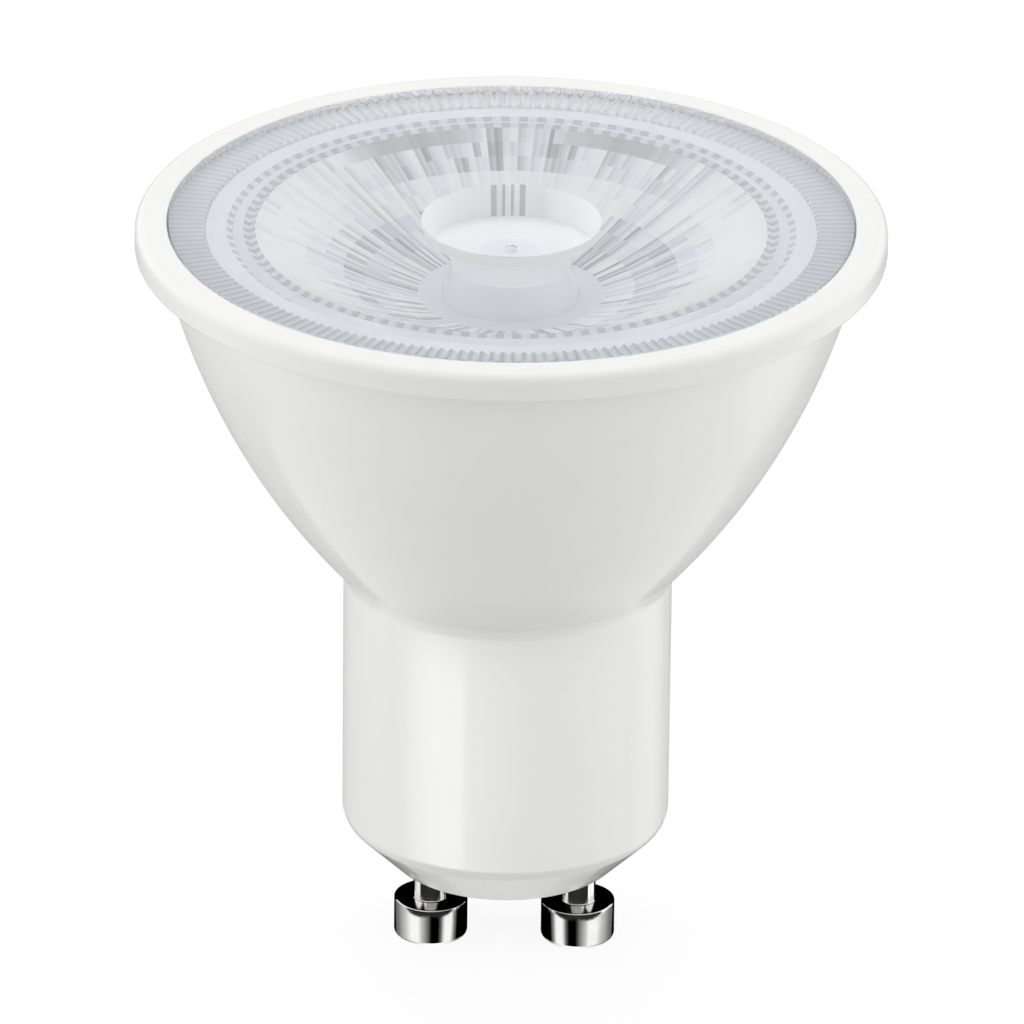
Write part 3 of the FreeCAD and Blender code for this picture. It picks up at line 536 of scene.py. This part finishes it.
class LensPlan:
    """Heights and radii of the lens that follow from its settings and its CAD box."""

    def __init__(self, s):
        self.top, self.foot, self.edge = LENS_HIGH.z, LENS_LOW.z, LENS_HIGH.x
        self.ledge = self.top - s.edge
        self.floor = self.top - s.recess_depth
        self.roof = self.foot + s.hollow_depth
        self.rib_inner = self.edge - s.rib_length
        self.ridge_half = s.ridge_width / 2
        self.row_height = (self.ledge - self.foot) / s.rows
        self.steps = 2 * s.facets

    def outline(self, s):
        """Half the lens's section as (radius, height) pairs, from the gate's stub to the hollow's roof."""
        corners = [
            (0.0, self.floor + s.gate_height),
            (s.gate, self.floor + s.gate_height),
            (s.gate, self.floor),
            (s.spot, self.floor),
            (s.recess - s.recess_draft, self.floor),
            (s.recess, self.top),
            (self.edge, self.top),
            (self.edge, self.ledge),
            (self.rib_inner + s.rib_run, self.ledge),
            (self.rib_inner, self.ledge),
        ]
        for ridge in (s.ridge_outer, s.ridge_inner):
            corners += [(ridge + self.ridge_half, self.ledge), (ridge, self.ledge - s.ridge_depth)]
        corners.append((s.cone_top, self.ledge))
        for row in range(s.rows - 1, -1, -1):
            part = row / s.rows
            corners.append((
                s.cone_foot + (s.cone_top - s.cone_foot) * part ** s.cone_flare,
                self.foot + (self.ledge - self.foot) * part,
            ))
        corners += [(s.hollow, self.foot), (s.hollow_top, self.roof), (0.0, self.roof - s.dome)]
        return corners


class LAMP_OT_build_lens(bpy.types.Operator):
    """Turn the clear lens and cut its ribs, fine rings and funnel facets"""
    bl_idname = "lamp.build_lens"
    bl_label = "Build Lens"

    def execute(self, context):
        s = context.scene.lamp_lens
        plan = LensPlan(s)
        bm = bmesh.new()
        corners = chain(bm, plan.outline(s))
        roof_edge, roof_middle = corners[-2:]
        bow(bm, roof_edge, roof_middle, -s.dome / 8, cuts=8)
        turn(bm, plan.steps)
        self.cut_facets(bm, s, plan)
        for face in bm.faces:
            centre = face.calc_center_median()
            in_hollow = centre.z > plan.foot and math.hypot(centre.x, centre.y) < s.hollow
            face.smooth = in_hollow or (upright(face) and centre.z > plan.ledge)
        for edge in bm.edges:
            edge.smooth = edge.calc_face_angle(0.0) < math.radians(LENS_SHARP)
        self.paint_reflections(bm, s, plan)
        piece = finish_piece(bm, "lens_moulding", clear_moulding(s))
        cut = reflection_painted_moulding("cut facets", s.ior, s.facet_clearness, roughness=0.12)
        frosted = reflection_painted_moulding("frosted centre", s.ior, s.centre_clearness, roughness=0.4)
        piece.data.materials.append(cut)
        piece.data.materials.append(frosted)
        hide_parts("lens")
        return {"FINISHED"}

    def cut_facets(self, bm, s, plan):
        """Lifts every other column into a groove at the edge, and draws in the rest to make facets flat."""
        for vert in bm.verts:
            radius, height, odd = radius_of(vert), vert.co.z, column_of(vert, plan.steps) % 2
            if height >= plan.ledge + TINY:
                continue
            if radius > plan.rib_inner + TINY and not odd:
                vert.co.z += s.rib_depth
            if s.hollow + TINY < radius < plan.rib_inner - TINY and odd:
                vert.co.xy *= math.cos(math.pi / s.facets)

    def paint_reflections(self, bm, s, plan):
        """Gives the cut and frosted faces their finish, and each of their corners a tone of painted
        reflection or shade.
        """
        tone = bm.loops.layers.float.new("tone")
        draw = random.Random(GLINT_DRAW)
        glints = [[draw.random() for _ in range(s.facets)] for _ in range(s.rows)]
        for face in bm.faces:
            centre = face.calc_center_median()
            radius = math.hypot(centre.x, centre.y)
            azimuth = math.atan2(centre.y, centre.x)
            if plan.rib_inner < radius < plan.edge - NEAR and centre.z < plan.top - NEAR:
                face.material_index = CUT
                for loop in face.loops:
                    odd = column_of(loop.vert, plan.steps) % 2
                    # Painted reflections on the ribs: light crests, dark roots, and lighter towards the back
                    loop[tone] = (RIB_EDGE_LIGHT if odd else RIB_ROOT_SHADE) + RIB_BACK_LIGHT * math.sin(azimuth)
                continue
            face.material_index, value = self.slot_and_reflection(
                s, plan, upright(face), radius, centre.z, azimuth, glints
            )
            for loop in face.loops:
                loop[tone] = value

    def slot_and_reflection(self, s, plan, stands, radius, height, azimuth, glints):
        """Material slot and painted reflection tone of a face inside the ribbed edge, by the place of its
        centre.
        """
        half_step = int(azimuth % math.tau / math.tau * plan.steps)
        facet, second = divmod(half_step, 2)
        if abs(height - plan.floor) < NEAR and radius > s.gate:
            return FROSTED, SPOT_TONE if radius < s.spot else CENTRE_TONE
        if radius < s.recess and stands and height > plan.floor + s.gate_height:
            # The recess's wall is white, with painted dark reflections as small bars in the listed columns
            return FROSTED, BAR_SHADE if facet - s.facets // 4 in BAR_SHADE_COLUMNS else WALL_TONE
        # Inside the funnel's foot: a ring of painted shade, and the hollow's pale wall
        if radius < s.cone_foot and height < plan.floor - NEAR:
            return CUT, FOOT_SHADE if radius > s.hollow else HOLLOW_TONE
        if height > plan.ledge + NEAR or radius < s.cone_foot:
            return CLEAR, 0.0
        if height < plan.ledge - TINY and radius > s.cone_top:
            plain = s.ridge_inner + plan.ridge_half < radius < s.ridge_outer
            # Every other facet of the fine rings carries a painted dark reflection, which reads as a row of
            # dots
            return CUT, DOT_SHADE if facet % 2 and not plain else FLAT_TONE
        if height > plan.ledge - TINY:
            return CUT, FLAT_TONE
        row = min(s.rows - 1, int((height - plan.foot) / plan.row_height))
        return CUT, funnel_reflection(s, row, facet, second, azimuth, glints)


# Contact pins

PIN_STEPS = 96


class LAMP_OT_build_pins(bpy.types.Operator):
    """Turn the two contact pins with rounded heads"""
    bl_idname = "lamp.build_pins"
    bl_label = "Build Pins"

    def execute(self, context):
        s = context.scene.lamp_pins
        floor = context.scene.lamp_housing.base_floor
        head = (PIN_HIGH.x - PIN_LOW.x) / 2
        head_top = PIN_LOW.z + s.head_height
        collar_top = floor + s.collar_height
        plating = bright_plating(s.plating)
        for name in ("contact_pin_left", "contact_pin_right"):
            low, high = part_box(name)
            bm = bmesh.new()
            outline = [
                (0.0, low.z),
                (head, low.z),
                (head, head_top),
                (s.neck_radius, head_top),
                (s.neck_radius, floor),
                (s.collar_radius, floor),
                (s.collar_radius, collar_top),
                (s.neck_radius, collar_top),
                (s.neck_radius, high.z),
                (s.wire_hole, high.z),
                (s.wire_hole, collar_top),
                (0.0, collar_top),
            ]
            chain(bm, outline)
            round_corner(bm, outline[1], s.head_round, segments=5)
            for corner in outline[2:4]:
                round_corner(bm, corner, s.head_edge)
            turn(bm, PIN_STEPS)
            bmesh.ops.translate(bm, verts=bm.verts[:], vec=((low.x + high.x) / 2, 0.0, 0.0))
            piece = finish_piece(bm, f"{name}_turned", plating, TURNED_SHARP)
            even_shading(piece)
            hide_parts(name)
        return {"FINISHED"}


# Pieces that keep their CAD shape

class LAMP_OT_dress_inside(bpy.types.Operator):
    """Give the pieces inside the housing their finishes"""
    bl_idname = "lamp.dress_inside"
    bl_label = "Dress Inside"

    def execute(self, context):
        black = mottled("black compound", (0.06, 0.06, 0.06), 0.5)
        white = mottled("white sleeve", (0.85, 0.85, 0.83), 0.5)
        finishes = {
            "heat_sink": pressed_aluminium(),
            "thermal_pad": mottled("grey pad", (0.55, 0.56, 0.58), 0.8),
            "led_board": mottled("white solder mask", (0.93, 0.93, 0.92), 0.4, contrast=0.03),
            "led_package": mottled("white ceramic", (0.94, 0.94, 0.93), 0.5, contrast=0.03),
            "led_phosphor": mottled("phosphor", (0.93, 0.9, 0.75), 0.35, size=0.0002),
            "board_screws": mottled("zinc", (0.72, 0.72, 0.72), 0.35, Metallic=1.0),
            "driver_board": mottled("green solder mask", (0.08, 0.3, 0.16), 0.35),
            "bulk_capacitor": mottled("dark sleeve", (0.08, 0.09, 0.12), 0.3),
            "filter_capacitor": mottled("yellow box", (0.85, 0.65, 0.12), 0.35),
            "inductor_core": mottled("ferrite", (0.16, 0.16, 0.17), 0.6),
            "inductor_winding": mottled("copper", (0.72, 0.38, 0.18), 0.3, Metallic=1.0),
            "fuse_resistor": mottled("blue coating", (0.35, 0.5, 0.62), 0.5),
            "bridge_rectifier": black,
            "driver_chip": black,
            "output_diode": black,
            "sense_resistors": black,
            "mains_wire_left": white,
            "mains_wire_right": white,
            "led_wire_red": mottled("red sleeve", (0.6, 0.06, 0.05), 0.45),
            "led_wire_black": mottled("black sleeve", (0.05, 0.05, 0.05), 0.45),
        }
        for name, material in finishes.items():
            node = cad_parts[name]
            node.data.materials.clear()
            node.data.materials.append(material)
        return {"FINISHED"}


# Stage

FLOOR_RADIUS = 3.0

# The floor's glow to the eye, and its share beside the floor's own colour
FLOOR_GLOW, GLOW_SHARE = 1.1, 0.8

# Place, side length and share of the key power of each lamp
LAMPS = {
    "overhead": ((-0.03, 0.26, 0.85), 0.6, 1.38),
    "left_box": ((-0.8, -0.2, 0.25), 0.7, 1.7),
    "right_box": ((0.8, -0.2, 0.25), 0.7, 1.5),
}
LAMP_AIM = (0.0, 0.0, 0.03)

# Screens show only in reflections, on surfaces no farther from them than their reach.
# Around each pin: name, lower and upper height, and (degrees from the front, glow) pairs
PIN_SCREENS = (
    ("head", -0.014, -0.0051, (
        (-117, 0.12), (-94, 0.25), (-67, 0.65), (-50, 1.1), (-30, 1.1), (-22, 0.65), (-11, 0.32), (-1, 0.06),
        (3, 0.0), (21, 0.0), (28, 0.15), (38, 1.1), (55, 1.1), (64, 0.3), (74, 0.0), (111, 0.0),
    )),
    ("neck", -0.0051, -0.003, ((-66, 0.6), (-60, 0.02), (0, 0.03), (55, 0.02), (61, 0.6))),
)
PIN_SCREEN_RADIUS, PIN_REACH = 0.006, 0.0058

# Flat ones: name, (y, z) of both long edges, reach, and (x, glow) pairs
FLAT_SCREENS = (
    ("behind_pins_upper", (0.004, -0.0045), (0.004, -0.0001), 3 * PIN_REACH, ((0.0125, 0.0), (-0.0125, 0.0))),
    ("behind_pins_lower", (0.004, -0.017), (0.004, -0.0045), 3 * PIN_REACH, (
        (0.0125, 0.0), (0.0072, 0.0), (0.0069, 0.9), (0.0031, 0.9), (0.0028, 0.0), (-0.0028, 0.0),
        (-0.0031, 0.9), (-0.0069, 0.9), (-0.0072, 0.0), (-0.0125, 0.0),
    )),
    ("above_heads", (-0.003, -0.0001), (0.004, -0.0001), 2 * PIN_REACH, ((-0.0085, 0.0), (0.0085, 0.0))),
    ("under_base_near", (-0.03, -0.03), (0.012, -0.03), 0.05, (
        (0.06, 0.3), (0.03, 0.3), (0.015, 0.9), (0.0, 1.4), (-0.015, 0.9), (-0.03, 0.3), (-0.06, 0.3),
    )),
    ("under_base_far", (0.012, -0.03), (0.055, -0.03), 0.05, (
        (0.04, 0.35), (0.015, 0.5), (0.0, 1.0), (-0.015, 0.5), (-0.04, 0.35),
    )),
)

# Around the axis: name, radius, lower and upper height, reach, and (degrees from the front, glow) pairs
ROUND_SCREENS = (
    ("round_neck", 0.05, -0.022, 0.0015, 0.0458, (
        (-141, 0.2), (-111, 0.2), (-93, 0.4), (-79, 0.9), (-66, 2.3), (-54, 4.5), (-42, 6.0), (-25, 6.4),
        (-24, 4.4), (-11, 4.2), (3, 3.6), (18, 3.0), (43, 2.3), (89, 1.3), (106, 1.0), (128, 1.3), (141, 0.6),
    )),
    ("behind_lamp", 0.5, -0.45, 0.05, 2.0, (
        (100, 1.4), (125, 1.2), (145, 0.5), (180, 0.5), (235, 0.5), (260, 0.9),
    )),
)


def add_lamp(name, at, size, power):
    """A square lamp that lights the object but shows neither to the eye nor in reflections."""
    data = bpy.data.lights.new(name, "AREA")
    data.shape = "SQUARE"
    data.size = size
    data.energy = power
    lamp = bpy.data.objects.new(name, data)
    lamp.location = at
    lamp.rotation_euler = (Vector(LAMP_AIM) - Vector(at)).to_track_quat("-Z", "Y").to_euler()
    lamp.visible_camera = False
    lamp.visible_glossy = False
    bpy.context.scene.collection.objects.link(lamp)


def light_room(strength):
    """White to the eye and in reflections and glass, softer on dull surfaces."""
    world = bpy.data.worlds.new("studio")
    bpy.context.scene.world = world
    world.use_nodes = True
    nodes, links = world.node_tree.nodes, world.node_tree.links
    path = nodes.new("ShaderNodeLightPath")
    either = path.outputs["Is Camera Ray"]
    for ray in ("Is Glossy Ray", "Is Transmission Ray"):
        largest = nodes.new("ShaderNodeMath")
        largest.operation = "MAXIMUM"
        links.new(either, largest.inputs[0])
        links.new(path.outputs[ray], largest.inputs[1])
        either = largest.outputs["Value"]
    level = nodes.new("ShaderNodeMapRange")
    level.inputs["To Min"].default_value = strength
    level.inputs["To Max"].default_value = 1.0
    links.new(either, level.inputs["Value"])
    background = nodes["Background"]
    background.inputs["Color"].default_value = (1.0, 1.0, 1.0, 1.0)
    links.new(level.outputs["Result"], background.inputs["Strength"])


def floor_material(tint):
    """Nearly white to the eye, with the object's shadow faintly on it."""
    material = bpy.data.materials.new("studio floor")
    material.use_nodes = True
    nodes, links = material.node_tree.nodes, material.node_tree.links
    nodes.remove(nodes["Principled BSDF"])
    dull = nodes.new("ShaderNodeBsdfDiffuse")
    dull.inputs["Color"].default_value = (*tint, 1.0)
    glow = nodes.new("ShaderNodeEmission")
    glow.inputs["Strength"].default_value = FLOOR_GLOW
    path = nodes.new("ShaderNodeLightPath")
    part = nodes.new("ShaderNodeMath")
    part.operation = "MULTIPLY"
    part.inputs[1].default_value = GLOW_SHARE
    links.new(path.outputs["Is Camera Ray"], part.inputs[0])
    mix = nodes.new("ShaderNodeMixShader")
    links.new(part.outputs["Value"], mix.inputs["Fac"])
    links.new(dull.outputs["BSDF"], mix.inputs[1])
    links.new(glow.outputs["Emission"], mix.inputs[2])
    links.new(mix.outputs["Shader"], nodes["Material Output"].inputs["Surface"])
    return material


def screen_material():
    """Glows to its inner side, as far as its reach, and lets all else through."""
    material = bpy.data.materials.new("reflection screen")
    material.use_nodes = True
    nodes, links = material.node_tree.nodes, material.node_tree.links
    nodes.remove(nodes["Principled BSDF"])
    values = []
    for name in ("glow", "reach"):
        attribute = nodes.new("ShaderNodeAttribute")
        attribute.attribute_name = name
        values.append(attribute.outputs["Fac"])
    glow = nodes.new("ShaderNodeEmission")
    links.new(values[0], glow.inputs["Strength"])
    beyond = nodes.new("ShaderNodeMath")
    beyond.operation = "GREATER_THAN"
    links.new(nodes.new("ShaderNodeLightPath").outputs["Ray Length"], beyond.inputs[0])
    links.new(values[1], beyond.inputs[1])
    through = nodes.new("ShaderNodeMath")
    through.operation = "MAXIMUM"
    links.new(beyond.outputs["Value"], through.inputs[0])
    links.new(nodes.new("ShaderNodeNewGeometry").outputs["Backfacing"], through.inputs[1])
    mix = nodes.new("ShaderNodeMixShader")
    links.new(through.outputs["Value"], mix.inputs["Fac"])
    links.new(glow.outputs["Emission"], mix.inputs[1])
    links.new(nodes.new("ShaderNodeBsdfTransparent").outputs["BSDF"], mix.inputs[2])
    links.new(mix.outputs["Shader"], nodes["Material Output"].inputs["Surface"])
    return material


def add_screen(name, material, columns, reach):
    """A screen that shows only in reflections, from (low corner, high corner, glow) triples."""
    bm = bmesh.new()
    glow, span = bm.verts.layers.float.new("glow"), bm.verts.layers.float.new("reach")
    pairs = []
    for low, high, strength in columns:
        pair = [bm.verts.new(low), bm.verts.new(high)]
        for vert in pair:
            vert[glow], vert[span] = strength, reach
        pairs.append(pair)
    for left, right in zip(pairs, pairs[1:]):
        bm.faces.new((left[0], left[1], right[1], right[0]))
    mesh = bpy.data.meshes.new(name)
    bm.to_mesh(mesh)
    bm.free()
    mesh.materials.append(material)
    screen = bpy.data.objects.new(name, mesh)
    for ray in ("camera", "diffuse", "transmission", "volume_scatter", "shadow"):
        setattr(screen, f"visible_{ray}", False)
    bpy.context.scene.collection.objects.link(screen)


def arc_columns(centre_x, radius, low, high, pattern, side=1):
    """Columns round a centre on the X axis, for (degrees from the front, glow) pairs, mirrored by side -1."""
    columns = []
    for degrees, strength in pattern:
        angle = side * math.radians(degrees)
        x, y = centre_x + radius * math.sin(angle), -radius * math.cos(angle)
        columns.append(((x, y, low), (x, y, high), strength))
    return columns[::side]


def flat_columns(low, high, pattern):
    """Columns side by side along X between two (y, z) places, for (x, glow) pairs."""
    return [((x, *low), (x, *high), strength) for x, strength in pattern]


class LAMP_OT_build_stage(bpy.types.Operator):
    """Set the floor, the soft light, the reflection screens and the camera at the photograph's angle"""
    bl_idname = "lamp.build_stage"
    bl_label = "Build Stage"

    def execute(self, context):
        s = context.scene.lamp_stage
        context.scene.view_settings.view_transform = "Standard"
        light_room(s.room_light)
        self.add_floor(context, s)
        for name, (at, size, share_of_key) in LAMPS.items():
            add_lamp(name, at, size, s.key_power * share_of_key)
        self.add_screens()
        self.add_camera(context, s)
        return {"FINISHED"}

    def add_floor(self, context, s):
        """A round floor at the pins' ends, left out of reflections."""
        bm = bmesh.new()
        bmesh.ops.create_circle(bm, cap_ends=True, segments=64, radius=FLOOR_RADIUS)
        bmesh.ops.translate(bm, verts=bm.verts[:], vec=(0.0, 0.0, PIN_LOW.z))
        mesh = bpy.data.meshes.new("studio_floor")
        bm.to_mesh(mesh)
        bm.free()
        mesh.materials.append(floor_material(s.floor))
        floor = bpy.data.objects.new("studio_floor", mesh)
        floor.visible_glossy = False
        context.scene.collection.objects.link(floor)

    def add_screens(self):
        """Screens near the pins, under the base, round the neck and behind the lamp."""
        material = screen_material()
        pin = (PIN_HIGH.x + PIN_LOW.x) / 2
        for word, side in (("left", 1), ("right", -1)):
            for part, low, high, pattern in PIN_SCREENS:
                columns = arc_columns(-side * pin, PIN_SCREEN_RADIUS, low, high, pattern, side)
                add_screen(f"screen_{part}_{word}", material, columns, PIN_REACH)
        for name, low, high, reach, pattern in FLAT_SCREENS:
            add_screen(f"screen_{name}", material, flat_columns(low, high, pattern), reach)
        for name, radius, low, high, reach, pattern in ROUND_SCREENS:
            add_screen(f"screen_{name}", material, arc_columns(0.0, radius, low, high, pattern), reach)

    def add_camera(self, context, s):
        """The camera at the photograph's distance and angle, aimed at a point on the lamp."""
        outward = Vector((
            math.sin(s.azimuth) * math.cos(s.elevation),
            -math.cos(s.azimuth) * math.cos(s.elevation),
            math.sin(s.elevation),
        ))
        right = Vector((math.cos(s.azimuth), math.sin(s.azimuth), 0.0))
        data = bpy.data.cameras.new("camera")
        data.lens = s.lens
        camera = bpy.data.objects.new("camera", data)
        turn_to = (-outward).to_track_quat("-Z", "Y").to_matrix().to_4x4()
        place = Vector((0.0, 0.0, s.aim_height)) + right * s.aim_side + outward * s.distance
        camera.matrix_world = Matrix.Translation(place) @ turn_to @ Matrix.Rotation(s.roll, 4, "Z")
        context.scene.collection.objects.link(camera)
        context.scene.camera = camera


class LAMP_PT_looks(bpy.types.Panel):
    """Lists the steps that dress the lamp"""
    bl_idname = "LAMP_PT_looks"
    bl_label = "Lamp Looks"
    bl_space_type = "VIEW_3D"
    bl_region_type = "UI"
    bl_category = "Lamp"

    def draw(self, context):
        for operator in OPERATORS:
            self.layout.operator(operator.bl_idname)


OPERATORS = (
    LAMP_OT_build_housing,
    LAMP_OT_build_lens,
    LAMP_OT_build_pins,
    LAMP_OT_dress_inside,
    LAMP_OT_build_stage,
)


def register():
    for group in GROUPS.values():
        bpy.utils.register_class(group)
    for name, group in GROUPS.items():
        setattr(bpy.types.Scene, name, PointerProperty(type=group))
    for operator in OPERATORS:
        bpy.utils.register_class(operator)
    bpy.utils.register_class(LAMP_PT_looks)


def unregister():
    bpy.utils.unregister_class(LAMP_PT_looks)
    for operator in reversed(OPERATORS):
        bpy.utils.unregister_class(operator)
    for name in GROUPS:
        delattr(bpy.types.Scene, name)
    for group in reversed(GROUPS.values()):
        bpy.utils.unregister_class(group)


def main():
    register()
    bpy.ops.lamp.build_housing()
    bpy.ops.lamp.build_lens()
    bpy.ops.lamp.build_pins()
    bpy.ops.lamp.dress_inside()
    bpy.ops.lamp.build_stage()


if __name__ == "__main__":
    main()
